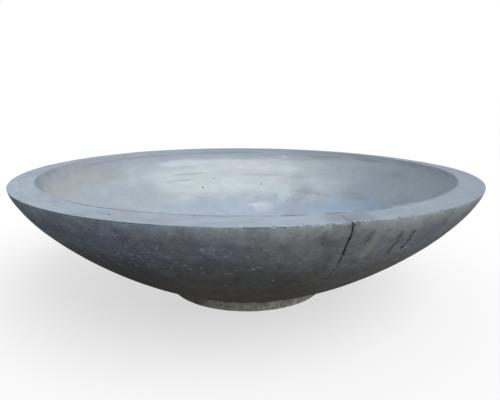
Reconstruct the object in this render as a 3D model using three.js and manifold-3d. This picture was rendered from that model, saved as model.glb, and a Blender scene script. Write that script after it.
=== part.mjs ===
// Cast concrete bowl planter on a low ring foot.
//
// The bowl is made in two lifts: a shell cast against a mould, then a lining
// trowelled on its inside. A cage of round steel bars lies in the joint between
// the two, a pipe sleeve forms the drain hole, and the finished bowl is bedded in
// mortar on a separately cast ring.
//
// Millimetres, +Z up. The origin is on the ground at the centre of the foot.

import * as THREE from 'three';
import { mergeVertices } from 'three/addons/utils/BufferGeometryUtils.js';
import Module from 'manifold-3d';

const wasm = await Module();
wasm.setup();

// ---- Driving dimensions ----------------------------------------------------

const RIM_RADIUS = 500;            // outer edge of the rim
const RIM_HEIGHT = 273;            // ground to the outer edge of the rim
const RIM_WIDTH = 49.5;            // outer edge to inner edge
const RIM_RISE = 3.6;              // the rim sheds water outwards
const LINING_TOP_WIDTH = 5.5;      // the lining's strip along the rim's inner edge
const EDGE_BREAK = 2.5;            // worn corner of the rim

const FOOT_RADIUS = 184.5;         // outside of the foot at the ground
const FOOT_TOP_RADIUS = 182;
const FOOT_HEIGHT = 20;
const FOOT_INNER_RADIUS = 140;
const MORTAR_MARGIN = 2.5;         // the joint is struck back from the foot's faces

const UNDERSIDE_HEIGHT = 25.5;     // underside of the bowl
const SHELL_FLOOR_HEIGHT = 50.5;   // first lift at the centre
const SHELL_FLOOR_RADIUS = 150;    // where its level floor ends
const FLOOR_HEIGHT = 72;           // finished floor, where the sides run out into it
const FLOOR_RADIUS = 110;
const DRAIN_HEIGHT = 70;           // the floor falls to the drain

// What the section's curves bend towards, as radius and height: the first from the
// rim, the second from the foot or the floor.
const FLANK_BEND = [[482.5, 184], [268, 41.5]];
const SEAM_BEND = [[482, 224], [260, SHELL_FLOOR_HEIGHT]];
const INSIDE_BEND = [[440, 228], [262, 86]];

const PIPE_RADIUS = 20;
const PIPE_WALL = 2;
const PIPE_DRIP = 2;               // the pipe stands out below the bowl

const BAR_RADIUS = 4;
const BAR_COUNT = 12;
const BAR_TOP = 30;                // down the joint from the rim to the radial bars
const BAR_HUB_RADIUS = 42;         // where they stop short of the drain
const BAR_CLEARANCE = 0.8;         // bar to lining

// Hoops laid on the joint, by their distance down it from the rim.
const RIM_HOOP_RADIUS = 5;
const HOOPS = [
  { name: 'rim_hoop', down: 48, radius: RIM_HOOP_RADIUS },
  { name: 'upper_hoop', down: 170, radius: BAR_RADIUS },
  { name: 'lower_hoop', down: 290, radius: BAR_RADIUS },
];
const HUB_HOOP_CIRCLE = 56;        // centre circle of the hoop on the level floor
const HOOP_CLEARANCE = 0.4;        // hoop to shell
const GROOVE_CLEARANCE = 0.7;      // hoop to the top of the lining's groove
const GROOVE_MOUTH = 1.8;          // half width of the groove at the joint, in hoop radii
const GROOVE_TOP = 0.7;            // and at its top

const WEEP_RADIUS = 9;             // half-round weep holes under the foot
const WEEP_ANGLES = [45, 135];     // degrees from +X, both at the back

const GAP = 0.3;                   // between touching pieces
const WELD = 1e-3;                 // corners closer than this are one

const SEGMENTS = 48;               // facets round the bowl, a multiple of the bars
const FLANK_STEPS = 14;
const INSIDE_STEPS = 11;
const SEAM_SPACING = 40;
const BAR_STEPS = 12;
const BAR_SIDES = 6;
const HOOP_SIDES = 6;
const WEEP_SIDES = 16;

// ---- Section of the bowl, as radius and height -----------------------------

const point = (radius, height) => new THREE.Vector2(radius, height);

const INNER_EDGE = point(RIM_RADIUS - RIM_WIDTH, RIM_HEIGHT + RIM_RISE);
const SEAM_EDGE_RADIUS = INNER_EDGE.x + LINING_TOP_WIDTH;

// Height of the sloping rim at a radius.
const rimHeight = (radius) => RIM_HEIGHT + RIM_RISE * (RIM_RADIUS - radius) / RIM_WIDTH;

function sectionCurve(start, [first, second], end) {
  return new THREE.CubicBezierCurve(start, point(...first), point(...second), end);
}

// Outside face: steep under the rim, then one long sweep into the foot.
const FLANK = sectionCurve(
  point(RIM_RADIUS, RIM_HEIGHT),
  FLANK_BEND,
  point(FOOT_TOP_RADIUS, UNDERSIDE_HEIGHT),
);

// Joint between the two lifts, level where it reaches the floor.
const SEAM = sectionCurve(
  point(SEAM_EDGE_RADIUS, rimHeight(SEAM_EDGE_RADIUS)),
  SEAM_BEND,
  point(SHELL_FLOOR_RADIUS, SHELL_FLOOR_HEIGHT),
);

// Trowelled inside face.
const INSIDE = sectionCurve(INNER_EDGE, INSIDE_BEND, point(FLOOR_RADIUS, FLOOR_HEIGHT));

// A point beside a curve: so far down it from its start, and then so far towards the
// inside of the bowl.
function beside(curve, down, inwards) {
  const u = down / curve.getLength();
  const tangent = curve.getTangentAt(u);
  return curve.getPointAt(u).addScaledVector(point(tangent.y, -tangent.x), inwards);
}

const grooveHalfWidth = ({ radius }) => GROOVE_MOUTH * radius;

// Stops along the joint, from the rim down, that shell and lining share: the two
// edges of each groove, and even stops that keep clear of the grooves. The lower edge
// of a groove carries its hoop.
const SEAM_LENGTH = SEAM.getLength();
const evenStops = Array.from({ length: SEAM_LENGTH / SEAM_SPACING }, (_, i) => i * SEAM_SPACING)
  .filter((down) => HOOPS.every((hoop) => Math.abs(down - hoop.down) > SEAM_SPACING / 3));
const SEAM_STOPS = [
  ...[...evenStops, SEAM_LENGTH].map((down) => ({ down })),
  ...HOOPS.map((hoop) => ({ down: hoop.down - grooveHalfWidth(hoop) })),
  ...HOOPS.map((hoop) => ({ down: hoop.down + grooveHalfWidth(hoop), hoop })),
].sort((a, b) => a.down - b.down);

// ---- Geometry helpers -------------------------------------------------------

// Leaves only positions, with shared corners merged.
function welded(geometry) {
  const bare = geometry.clone();
  bare.deleteAttribute('normal');
  bare.deleteAttribute('uv');
  return mergeVertices(bare, WELD);
}

// Turns a closed section, anticlockwise as radius and height, about the Z axis.
function turned(section) {
  const geometry = new THREE.LatheGeometry([...section, section[0]], SEGMENTS);
  geometry.rotateX(Math.PI / 2);
  return welded(geometry);
}

function toSolid(geometry) {
  const { position } = geometry.attributes;
  return new wasm.Manifold(new wasm.Mesh({
    numProp: 3,
    vertProperties: Float32Array.from(position.array),
    triVerts: Uint32Array.from(geometry.index.array),
  }));
}

function toGeometry(solid) {
  const mesh = solid.getMesh();
  const geometry = new THREE.BufferGeometry();
  geometry.setAttribute('position', new THREE.BufferAttribute(mesh.vertProperties, 3));
  geometry.setIndex(new THREE.BufferAttribute(mesh.triVerts, 1));
  return geometry;
}

// Cuts every tool from a body.
function cut(body, tools) {
  const solid = tools.reduce((rest, tool) => rest.subtract(toSolid(tool)), toSolid(body));
  return toGeometry(solid);
}

// ---- Materials --------------------------------------------------------------

function material(color, roughness, metalness = 0) {
  return new THREE.MeshStandardMaterial({ color, roughness, metalness, flatShading: true });
}

const FINISH = {
  castConcrete: () => material(0x5f6064, 0.85),
  trowelledConcrete: () => material(0xaeb6c0, 0.7),
  footConcrete: () => material(0x6f6b68, 0.9),
  mortar: () => material(0x8a857e, 0.95),
  steel: () => material(0x6b5a4e, 0.6, 0.8),
  pipe: () => material(0x6a6c70, 0.45),
};

const planter = new THREE.Group();

function addPiece(name, geometry, finish) {
  const mesh = new THREE.Mesh(geometry, finish);
  mesh.name = name;
  planter.add(mesh);
}

// ---- Radial bars ------------------------------------------------------------

// A line in the XZ plane that keeps a set distance under the joint.
class UnderSeam extends THREE.Curve {
  constructor(start, depth) {
    super();
    this.start = start;
    this.depth = depth;
  }

  getPoint(t, target = new THREE.Vector3()) {
    const down = THREE.MathUtils.lerp(this.start, SEAM_LENGTH, t);
    const { x, y } = beside(SEAM, down, -this.depth);
    return target.set(x, 0, y);
  }
}

// A radial bar's centreline: down the joint, then level to the hub. Its channel
// has the same line, a little longer at both ends.
function barLine(extra) {
  const depth = BAR_RADIUS + BAR_CLEARANCE;
  const seamLine = new UnderSeam(BAR_TOP, depth);
  const top = seamLine.getPoint(0);
  const above = top.clone().addScaledVector(seamLine.getTangent(0), -extra);
  const bottom = seamLine.getPoint(1);
  const hub = new THREE.Vector3(BAR_HUB_RADIUS - extra, 0, bottom.z);
  const line = new THREE.CurvePath();
  if (extra > 0) line.add(new THREE.LineCurve3(above, top));
  line.add(seamLine);
  line.add(new THREE.LineCurve3(bottom, hub));
  return line;
}

function swept(outline, line) {
  const geometry = new THREE.ExtrudeGeometry(outline, {
    extrudePath: line,
    steps: BAR_STEPS,
    bevelEnabled: false,
  });
  return welded(geometry);
}

// Corners of a many-sided round from one angle to another, ends included.
function arc(radius, from, to, steps) {
  const corners = [];
  for (let i = 0; i <= steps; i += 1) {
    const angle = from + (to - from) * i / steps;
    corners.push(point(radius * Math.cos(angle), radius * Math.sin(angle)));
  }
  return corners;
}

// The outline's Y runs towards the inside of the bowl.
function barSection() {
  return new THREE.Shape(arc(BAR_RADIUS, 0, 2 * Math.PI, BAR_SIDES).slice(0, BAR_SIDES));
}

// Round at the bottom and open at the top, through the joint face.
function channelSection() {
  const radius = (BAR_RADIUS + GAP) / Math.cos(Math.PI / BAR_SIDES);
  const mouth = BAR_RADIUS + BAR_CLEARANCE + RIM_HOOP_RADIUS;
  const base = arc(radius, Math.PI, 2 * Math.PI, BAR_SIDES / 2);
  return new THREE.Shape([...base, point(radius, mouth), point(-radius, mouth)]);
}

function roundTheBowl(geometry, index) {
  return geometry.clone().rotateZ(2 * Math.PI * index / BAR_COUNT);
}

// ---- Concrete ---------------------------------------------------------------

const PIPE_HOLE_RADIUS = PIPE_RADIUS + GAP;

// The shell's section: underside, flank, rim, joint.
function shellSection() {
  const flank = [];
  for (let i = FLANK_STEPS; i > 0; i -= 1) flank.push(FLANK.getPoint(i / FLANK_STEPS));
  return [
    point(PIPE_HOLE_RADIUS, UNDERSIDE_HEIGHT),
    ...flank,
    beside(FLANK, EDGE_BREAK, 0),
    point(RIM_RADIUS - EDGE_BREAK, rimHeight(RIM_RADIUS - EDGE_BREAK)),
    ...SEAM_STOPS.map(({ down }) => beside(SEAM, down, 0)),
    point(PIPE_HOLE_RADIUS, SHELL_FLOOR_HEIGHT),
  ];
}

function makeShell() {
  const channel = swept(channelSection(), barLine(2 * GAP));
  const channels = Array.from({ length: BAR_COUNT }, (_, i) => roundTheBowl(channel, i));
  return cut(turned(shellSection()), channels);
}

// The two inner corners of the groove that the lining keeps round a hoop, from below
// it to above it. The groove tapers, as mortar packed round a bar does.
function grooveTop(under, upwards, inward, radius) {
  const height = HOOP_CLEARANCE + 2 * radius + GROOVE_CLEARANCE;
  return [-GROOVE_TOP, GROOVE_TOP].map((side) => under.clone()
    .addScaledVector(upwards, side * radius)
    .addScaledVector(inward, height));
}

// Where a hoop lies: on the flat between its groove's edges.
function hoopSeat(hoop) {
  const above = beside(SEAM, hoop.down - grooveHalfWidth(hoop), 0);
  const below = beside(SEAM, hoop.down + grooveHalfWidth(hoop), 0);
  const upwards = above.clone().sub(below).normalize();
  const inward = point(-upwards.y, upwards.x);
  return { under: above.add(below).multiplyScalar(0.5), upwards, inward };
}

// The lining's joint face, from the floor up, with a groove for each hoop.
function liningJoint() {
  return [...SEAM_STOPS].reverse().flatMap(({ down, hoop }) => {
    const corner = beside(SEAM, down, GAP);
    if (!hoop) return [corner];
    const { under, upwards, inward } = hoopSeat(hoop);
    return [corner, ...grooveTop(under, upwards, inward, hoop.radius)];
  });
}

// The lining's section: underside with the hub hoop's groove, joint, rim strip,
// inside face, floor.
function liningSection() {
  const floor = (radius) => point(radius, SHELL_FLOOR_HEIGHT + GAP);
  const hubHalfWidth = GROOVE_MOUTH * BAR_RADIUS;
  const hubUnder = point(HUB_HOOP_CIRCLE, SHELL_FLOOR_HEIGHT);
  const inside = [];
  for (let i = 1; i <= INSIDE_STEPS; i += 1) inside.push(INSIDE.getPoint(i / INSIDE_STEPS));
  return [
    floor(PIPE_HOLE_RADIUS),
    floor(HUB_HOOP_CIRCLE - hubHalfWidth),
    ...grooveTop(hubUnder, point(1, 0), point(0, 1), BAR_RADIUS),
    floor(HUB_HOOP_CIRCLE + hubHalfWidth),
    ...liningJoint(),
    point(INNER_EDGE.x + EDGE_BREAK, rimHeight(INNER_EDGE.x + EDGE_BREAK)),
    beside(INSIDE, EDGE_BREAK, 0),
    ...inside,
    point(PIPE_HOLE_RADIUS, DRAIN_HEIGHT),
  ];
}

// The ring foot, wider at the ground, with half-round weep holes.
function makeFoot() {
  const ring = turned([
    point(FOOT_INNER_RADIUS, 0),
    point(FOOT_RADIUS, 0),
    point(FOOT_TOP_RADIUS, FOOT_HEIGHT),
    point(FOOT_INNER_RADIUS, FOOT_HEIGHT),
  ]);
  const middle = (FOOT_INNER_RADIUS + FOOT_RADIUS) / 2;
  const length = 2 * (FOOT_RADIUS - FOOT_INNER_RADIUS);
  const weeps = WEEP_ANGLES.map((degrees) => {
    const rod = new THREE.CylinderGeometry(WEEP_RADIUS, WEEP_RADIUS, length, WEEP_SIDES);
    rod.rotateZ(Math.PI / 2).translate(middle, 0, 0);
    rod.rotateZ(THREE.MathUtils.degToRad(degrees));
    return welded(rod);
  });
  return cut(ring, weeps);
}

function mortarSection() {
  const inner = FOOT_INNER_RADIUS + MORTAR_MARGIN;
  const outer = FOOT_TOP_RADIUS - MORTAR_MARGIN;
  return [
    point(inner, FOOT_HEIGHT + GAP),
    point(outer, FOOT_HEIGHT + GAP),
    point(outer, UNDERSIDE_HEIGHT - GAP),
    point(inner, UNDERSIDE_HEIGHT - GAP),
  ];
}

// ---- Drain and hoops --------------------------------------------------------

function pipeSection() {
  const bottom = UNDERSIDE_HEIGHT - PIPE_DRIP;
  return [
    point(PIPE_RADIUS - PIPE_WALL, bottom),
    point(PIPE_RADIUS, bottom),
    point(PIPE_RADIUS, DRAIN_HEIGHT),
    point(PIPE_RADIUS - PIPE_WALL, DRAIN_HEIGHT),
  ];
}

function makeHoop(centre, radius) {
  const ring = new THREE.TorusGeometry(centre.x, radius, HOOP_SIDES, SEGMENTS);
  ring.translate(0, 0, centre.y);
  return welded(ring);
}

// ---- Assembly ---------------------------------------------------------------

addPiece('bowl_shell', makeShell(), FINISH.castConcrete());
addPiece('inner_lining', turned(liningSection()), FINISH.trowelledConcrete());
addPiece('foot_ring', makeFoot(), FINISH.footConcrete());
addPiece('mortar_bed', turned(mortarSection()), FINISH.mortar());
addPiece('drain_sleeve', turned(pipeSection()), FINISH.pipe());

for (const hoop of HOOPS) {
  const { under, inward } = hoopSeat(hoop);
  const centre = under.addScaledVector(inward, HOOP_CLEARANCE + hoop.radius);
  addPiece(hoop.name, makeHoop(centre, hoop.radius), FINISH.steel());
}
const hubCentre = point(HUB_HOOP_CIRCLE, SHELL_FLOOR_HEIGHT + HOOP_CLEARANCE + BAR_RADIUS);
addPiece('hub_hoop', makeHoop(hubCentre, BAR_RADIUS), FINISH.steel());

const bar = swept(barSection(), barLine(0));
for (let i = 0; i < BAR_COUNT; i += 1) {
  const number = String(i + 1).padStart(2, '0');
  addPiece(`radial_bar_${number}`, roundTheBowl(bar, i), FINISH.steel());
}

export default planter;
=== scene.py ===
# Cast concrete bowl planter on a ring foot: the finish of every surface, the light
# and the camera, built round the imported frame. Metres, +Z up, the front is -Y.
import math

import bpy
import numpy as np
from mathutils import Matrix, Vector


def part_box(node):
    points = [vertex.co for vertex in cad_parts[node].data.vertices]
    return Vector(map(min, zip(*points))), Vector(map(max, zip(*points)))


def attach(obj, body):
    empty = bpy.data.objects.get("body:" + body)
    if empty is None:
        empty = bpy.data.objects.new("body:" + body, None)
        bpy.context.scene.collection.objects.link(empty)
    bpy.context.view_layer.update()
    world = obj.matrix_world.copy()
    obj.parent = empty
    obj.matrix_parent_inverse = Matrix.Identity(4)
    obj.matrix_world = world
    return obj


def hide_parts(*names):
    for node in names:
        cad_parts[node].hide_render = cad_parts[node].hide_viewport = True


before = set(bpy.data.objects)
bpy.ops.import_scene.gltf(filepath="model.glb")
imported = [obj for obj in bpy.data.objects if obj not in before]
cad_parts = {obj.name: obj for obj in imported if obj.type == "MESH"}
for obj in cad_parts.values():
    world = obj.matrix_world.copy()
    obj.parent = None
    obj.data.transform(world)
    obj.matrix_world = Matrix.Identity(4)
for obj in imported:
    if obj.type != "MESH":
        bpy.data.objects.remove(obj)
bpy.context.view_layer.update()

MM = 0.001
TURN = 2 * math.pi
BODY = "root"

# ---- Sizes, from the frame ----

SHELL_LOW, SHELL_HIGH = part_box("bowl_shell")
LINING_LOW, LINING_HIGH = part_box("inner_lining")
FOOT_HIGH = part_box("foot_ring")[1]
MORTAR_LOW, MORTAR_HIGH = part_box("mortar_bed")
PIPE_LOW, PIPE_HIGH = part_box("drain_sleeve")

GAP = 0.3 * MM  # between touching pieces
WORN = 0.5 * MM  # what wear has taken off the rim's outer corner
RIM_RADIUS = SHELL_HIGH.x + WORN
RIM_RISE = 3.6 * MM  # inner edge over outer edge
RIM_WIDTH = 49.5 * MM
LINING_STRIP = 5.5 * MM  # the lining's part of the rim
EDGE_BREAK = 2.5 * MM  # the rim's worn corners
RIM_HEIGHT = LINING_HIGH.z - RIM_RISE * (1 - EDGE_BREAK / RIM_WIDTH)  # outer edge
UNDERSIDE = SHELL_LOW.z
SHELL_FLOOR = LINING_LOW.z - GAP
FLOOR_EDGE = 150 * MM  # radius where the joint's curve runs flat
FOOT_RADIUS = FOOT_HIGH.x
FOOT_TOP_RADIUS = 182 * MM
FOOT_INNER_RADIUS = 140 * MM
WEEP_RADIUS = 9 * MM
WEEP_AZIMUTHS = np.radians([135, 225])
PIPE_RADIUS = PIPE_HIGH.x
PIPE_WALL = 2 * MM
HOLE_RADIUS = PIPE_RADIUS + GAP

INNER_RADIUS = RIM_RADIUS - RIM_WIDTH
SEAM_RADIUS = INNER_RADIUS + LINING_STRIP


def rim_height(radius):
    """Height of the sloping rim at a radius."""
    return RIM_HEIGHT + RIM_RISE * (RIM_RADIUS - radius) / RIM_WIDTH


# Cubic curves of the section, as (radius, height): outside, joint, inside.
FLANK = ((RIM_RADIUS, RIM_HEIGHT), (482.5 * MM, 184 * MM), (268 * MM, 41.5 * MM),
         (FOOT_TOP_RADIUS, UNDERSIDE))
SEAM = ((SEAM_RADIUS, rim_height(SEAM_RADIUS)), (482 * MM, 224 * MM),
        (260 * MM, SHELL_FLOOR), (FLOOR_EDGE, SHELL_FLOOR))
INSIDE = ((INNER_RADIUS, rim_height(INNER_RADIUS)), (440 * MM, 228 * MM),
          (262 * MM, 86 * MM), (110 * MM, 72 * MM))

BAR_COUNT = 12
BAR_TOP = 29.4 * MM  # down the joint from the rim to the bars' channels
BAR_HUB = 41.4 * MM  # radius where the channels end
HOOPS = {"rim_hoop": 5 * MM, "upper_hoop": 4 * MM, "lower_hoop": 4 * MM, "hub_hoop": 4 * MM}

# Each channel's four columns: their azimuths in the visible face, and in the hidden face
# their distances from the bar's middle and their depths.
CHANNEL_COLUMNS = np.radians([-0.62, -0.31, 0.31, 0.62])
CHANNEL_HALF_WIDTHS = np.array([-5.6, -3.2, 3.2, 5.6]) * MM
CHANNEL_DEPTHS = np.array([0, 9, 9, 0]) * MM
BAR_AZIMUTHS = np.arange(BAR_COUNT) * TURN / BAR_COUNT

# The hand-made rim isn't level: how far it lies under RIM_HEIGHT, by azimuth in degrees.
RIM_UNEVEN = ((-180, 1.8), (-150, 0), (-120, 0.5), (-90, 1.8), (-60, 3), (60, 3), (85, 3.4),
              (112, 5.8), (140, 4.2), (160, 3), (180, 1.8))
UNEVEN_DEPTH = 36 * MM  # how far down the wall that reaches

# ---- Section lines ----


class Line:
    """A section curve by the distance along it from its start."""

    def __init__(self, control):
        a, b, c, d = np.array(control)
        t = np.linspace(0, 1, 2001)[:, None]
        self.points = ((1 - t) ** 3 * a + 3 * (1 - t) ** 2 * t * b
                       + 3 * (1 - t) * t ** 2 * c + t ** 3 * d)
        steps = np.linalg.norm(np.diff(self.points, axis=0), axis=1)
        self.run = np.concatenate([[0], np.cumsum(steps)])
        self.length = self.run[-1]

    def curve(self, distance):
        return np.stack([np.interp(distance, self.run, self.points[:, k]) for k in (0, 1)], 1)

    def tangent(self, distance):
        """Unit vectors along the line."""
        reach = 0.5 * MM
        low = np.clip(np.atleast_1d(distance) - reach, 0, self.length - 2 * reach)
        step = self.curve(low + 2 * reach) - self.curve(low)
        return step / np.linalg.norm(step, axis=1)[:, None]

    def at(self, distance, inwards=0):
        """(radius, height) at each distance, straight on past the ends, and moved
        sideways, inwards."""
        distance = np.atleast_1d(distance)
        on = np.clip(distance, 0, self.length)
        along = self.tangent(on)
        across = np.stack([along[:, 1], -along[:, 0]], 1)
        past = (distance - on)[:, None]
        return self.curve(on) + past * along + np.reshape(inwards, (-1, 1)) * across


FLANK_LINE, SEAM_LINE, INSIDE_LINE = Line(FLANK), Line(SEAM), Line(INSIDE)


def floor_distance(radius):
    """Distance down the joint to a radius on its flat floor."""
    return SEAM_LINE.length + (FLOOR_EDGE - radius)


def graded(length, finest, coarsest, growth=0.12):
    """Distances from 0 to length, closer together near 0."""
    stops = [0.0]
    while stops[-1] < length:
        stops.append(stops[-1] + min(coarsest, finest + growth * stops[-1]))
    return np.array(stops) * length / stops[-1]


def rounded(start, corner, end, count=4):
    """Points of a small round over a corner."""
    start, corner, end = (np.ravel(v) for v in (start, corner, end))
    t = np.linspace(0, 1, count)[:, None]
    return (1 - t) ** 2 * start + 2 * (1 - t) * t * corner + t ** 2 * end


# ---- Noise for the relief ----


def smooth(part):
    """Eases a share, 0 to 1, in and out."""
    return part * part * (3 - 2 * part)


PRIMES = np.array([374761393, 668265263, 2246822519, 3266489917], np.uint64)
LOW_BITS = np.uint64(0xFFFFFFFF)


def lattice(corner, seed):
    """A repeatable random number, 0 to 1, for each whole-number corner."""
    mixed = (corner.astype(np.uint64) * PRIMES[:3]).sum(-1) + np.uint64(seed) * PRIMES[3]
    for shift, prime in ((15, PRIMES[2]), (13, PRIMES[3])):
        mixed &= LOW_BITS
        mixed = (mixed ^ (mixed >> np.uint64(shift))) * prime
    mixed &= LOW_BITS
    return (mixed ^ (mixed >> np.uint64(16))) / LOW_BITS


def smooth_noise(points, size, seed):
    """Noise from -1 to 1 with bumps about as wide as size."""
    grid = np.asarray(points) / size + 1000.0
    base = np.floor(grid).astype(np.int64)
    part = grid - base
    ease = smooth(part)
    total = sum(np.prod(np.where(step, ease, 1 - ease), axis=-1) * lattice(base + step, seed)
                for step in np.ndindex(2, 2, 2))
    return 2 * total - 1


def layered_noise(points, size, seed):
    """Noise from -1 to 1 with finer and weaker layers on top."""
    weights = 1, 0.5, 0.25
    total = sum(w * smooth_noise(points, size * w, seed + k) for k, w in enumerate(weights))
    return total / sum(weights)


# ---- Turned grids ----


def evenly(count):
    """So many azimuths, evenly round the bowl."""
    return np.arange(count) * TURN / count


def signed(angle):
    """An angle as -pi to pi."""
    return (angle + math.pi) % TURN - math.pi


def place(radius, azimuth, height):
    """Points from radius, azimuth (0 at the front, towards +X) and height."""
    return np.stack(np.broadcast_arrays(radius * np.sin(azimuth), -radius * np.cos(azimuth),
                                        height), -1)


class Grid:
    """A closed turned surface: rows round the section, columns round the bowl. Rows go
    anticlockwise as radius and height, so the faces point out. The radius, height and
    azimuth of each vertex are r, z and a."""

    def __init__(self, azimuths, *parts):
        """Each part is the (radius, height) of its rows, and a mark for its surface."""
        parts = [(np.reshape(points, (-1, 2)), mark) for points, mark in parts]
        section = np.concatenate([points for points, _ in parts])
        self.marks = [mark for points, mark in parts for _ in points]
        self.shape = (len(section), len(azimuths))
        self.r = np.repeat(section[:, :1], self.shape[1], 1)
        self.z = np.repeat(section[:, 1:], self.shape[1], 1)
        self.a = np.repeat(azimuths[None], self.shape[0], 0)
        step = np.roll(section, -1, 0) - np.roll(section, 1, 0)
        step /= np.maximum(np.linalg.norm(step, axis=1), 1e-9)[:, None]
        self.out = step[:, 1:], -step[:, :1]

    def rows(self, *marks):
        """The rows with these marks, as a slice."""
        found = [i for i, mark in enumerate(self.marks) if mark in marks]
        return slice(found[0], found[-1] + 1)

    def points(self, rows=slice(None)):
        return place(self.r[rows], self.a[rows], self.z[rows])

    def push(self, rows, amount):
        """Moves vertices out along their row's normal."""
        self.r[rows] += amount * self.out[0][rows]
        self.z[rows] += amount * self.out[1][rows]

    def wear(self, rows, size, depth, seed, stretch=1, share=1):
        """Lowers rows by noise. Stretch draws the bumps out round the bowl, and share is
        how much each vertex gets."""
        points = self.points(rows) * (1, 1, stretch)
        self.push(rows, -depth * share * (0.5 + 0.5 * layered_noise(points, size, seed)))

    def settle(self):
        """Lowers the top of the wall to the uneven rim."""
        azimuths, falls = np.array(RIM_UNEVEN).T
        falls = sum(np.interp(np.degrees(self.a) + turn, azimuths, falls, period=360)
                    for turn in (-8, 0, 8)) / 3
        part = np.clip(1 - (RIM_HEIGHT - self.z) / UNEVEN_DEPTH, 0, 1)
        self.z -= falls * MM * smooth(part)

    def faces(self, skip=()):
        """Its quads, without some of them."""
        rows, columns = self.shape
        i, j = np.meshgrid(np.arange(rows), np.arange(columns), indexing="ij")
        up, on = (i + 1) % rows, (j + 1) % columns
        quads = np.stack([i * columns + j, i * columns + on, up * columns + on,
                          up * columns + j], -1)
        keep = np.ones(self.shape, bool)
        for row, column in skip:
            keep[row, column] = False
        return quads[keep].tolist()


SHARP_EDGE = math.radians(50)


def add_object(name, data):
    """A new object in the scene."""
    thing = bpy.data.objects.new(name, data)
    bpy.context.scene.collection.objects.link(thing)
    return thing


def make_piece(name, points, faces, material, nodes, attributes=None):
    """A piece of the object: it rides on the body and stands for CAD nodes."""
    mesh = bpy.data.meshes.new(name)
    mesh.from_pydata(points.reshape(-1, 3).tolist(), [], faces)
    mesh.materials.append(material)
    mesh.shade_smooth()
    mesh.set_sharp_from_angle(angle=SHARP_EDGE)
    for label, values in (attributes or {}).items():
        layer = mesh.attributes.new(label, "FLOAT", "POINT")
        layer.data.foreach_set("value", np.asarray(values, np.float32).ravel())
    mesh.update()
    piece = add_object(name, mesh)
    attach(piece, BODY)
    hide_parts(*nodes)


# ---- Bowl shell: crack, chips and air holes ----

JOINT_ROUND = 0.5 * MM  # of the two edges at the joint in the rim
JOINT_DEPTH = 0.9 * MM  # how far they have worn down where the joint shows
JOINT_ARC = np.radians([-42, 38])  # elsewhere it is smeared over
CAST_WEAR = ((60 * MM, 1.0 * MM, 11), (9 * MM, 0.35 * MM, 12))  # size, depth and seed


def shape_joint(grid, rows, beside):
    """Wears the joint's edges down in the front and brings them together elsewhere, beside
    the last row of the flat rim."""
    angle = signed(grid.a[rows])
    shown = np.clip((np.ptp(JOINT_ARC) / 2 - np.abs(angle - JOINT_ARC.mean())) / 0.1, 0, 1)
    ragged = 0.6 + 0.6 * smooth_noise(grid.points(rows), 14 * MM, 71)
    grid.z[rows] -= JOINT_DEPTH * shown * np.clip(ragged, 0, 1)
    meeting = SEAM_RADIUS - GAP / 2
    for index, row in enumerate(range(rows.start, rows.stop)):
        steps = abs(row - beside)
        radius = grid.r[beside] + (meeting - grid.r[beside]) * min(steps / 2, 1)
        height = grid.z[beside] - (JOINT_ROUND if steps > 2 else 0)
        grid.r[row] += (radius - grid.r[row]) * (1 - shown[index])
        grid.z[row] += (height - grid.z[row]) * (1 - shown[index])


# The crack down the front: azimuth in degrees, height in mm, and how open it is.
CRACK = ((18.1, 132, 0), (17.7, 160, 0.24), (17.2, 192, 0.34), (16.9, 203, 0.9),
         (16.55, 222, 1), (16.45, 243, 1), (16.35, 273, 0.85))
CRACK_AZIMUTHS, CRACK_HEIGHTS, CRACK_WIDTHS = np.array(CRACK).T * [[TURN / 360], [MM], [1]]
CRACK_TOP = CRACK_AZIMUTHS[-1]
CRACK_DEPTH = 4 * MM
CRACK_HALF_WIDTH = 1.1 * MM
CRACK_STAIN = 7 * MM
CRACK_PULL = math.radians(7)  # how far the columns bend towards it
RIM_CRACK_END = 476 * MM  # radius where its cleft in the rim runs out
CRACK_OFFSETS = np.array([-4.5, -2.8, -1.6, -0.8, 0, 0.8, 1.6, 2.8, 4.5]) * MM

WORN_ARC = np.radians([4, 37])  # the chipped stretch of the rim, in the front right
FINE_COLUMN = math.radians(0.25)
COARSE_COLUMN = math.radians(0.74)

PIT_COUNT = 880
PIT_SIDES = 8
PIT_HEIGHT = 224 * MM  # where most of them are
PIT_SPREAD = 28 * MM
CORNER_REACH = 10 * MM  # how far the rim mark counts from the rim's corner

# Larger hollows in the worn stretch: azimuth in degrees, height and size in mm.
HOLLOWS = ((9.7, 212, 5.5), (21.5, 212, 3.5), (22.0, 196, 4.5), (27.0, 206, 3.5),
           (11.8, 186, 3.5), (7.4, 199, 3.5), (13.3, 171, 3.5), (24.6, 181, 3.0))
DARK_HOLLOW = (30.3, 209.8, 4.5)


def shell_columns():
    """Column azimuths: fine over the chipped stretch, finer at the crack, and four at each
    bar for its channel."""
    fine = np.arange(WORN_ARC[0], WORN_ARC[1], FINE_COLUMN)
    rest = TURN - (WORN_ARC[1] - WORN_ARC[0])
    coarse = WORN_ARC[1] + np.linspace(0, rest, round(rest / COARSE_COLUMN), endpoint=False)
    columns = np.concatenate([fine, coarse])
    crack = CRACK_TOP + CRACK_OFFSETS / RIM_RADIUS
    clear = np.abs(columns - CRACK_TOP) > CRACK_OFFSETS[-1] / RIM_RADIUS + FINE_COLUMN / 2
    for bar in BAR_AZIMUTHS:
        clear &= np.abs(signed(columns - bar)) > CHANNEL_COLUMNS[-1] * 1.4
    channels = np.add.outer(BAR_AZIMUTHS, CHANNEL_COLUMNS).ravel()
    return np.sort(np.concatenate([columns[clear], crack, channels]) % TURN)


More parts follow.
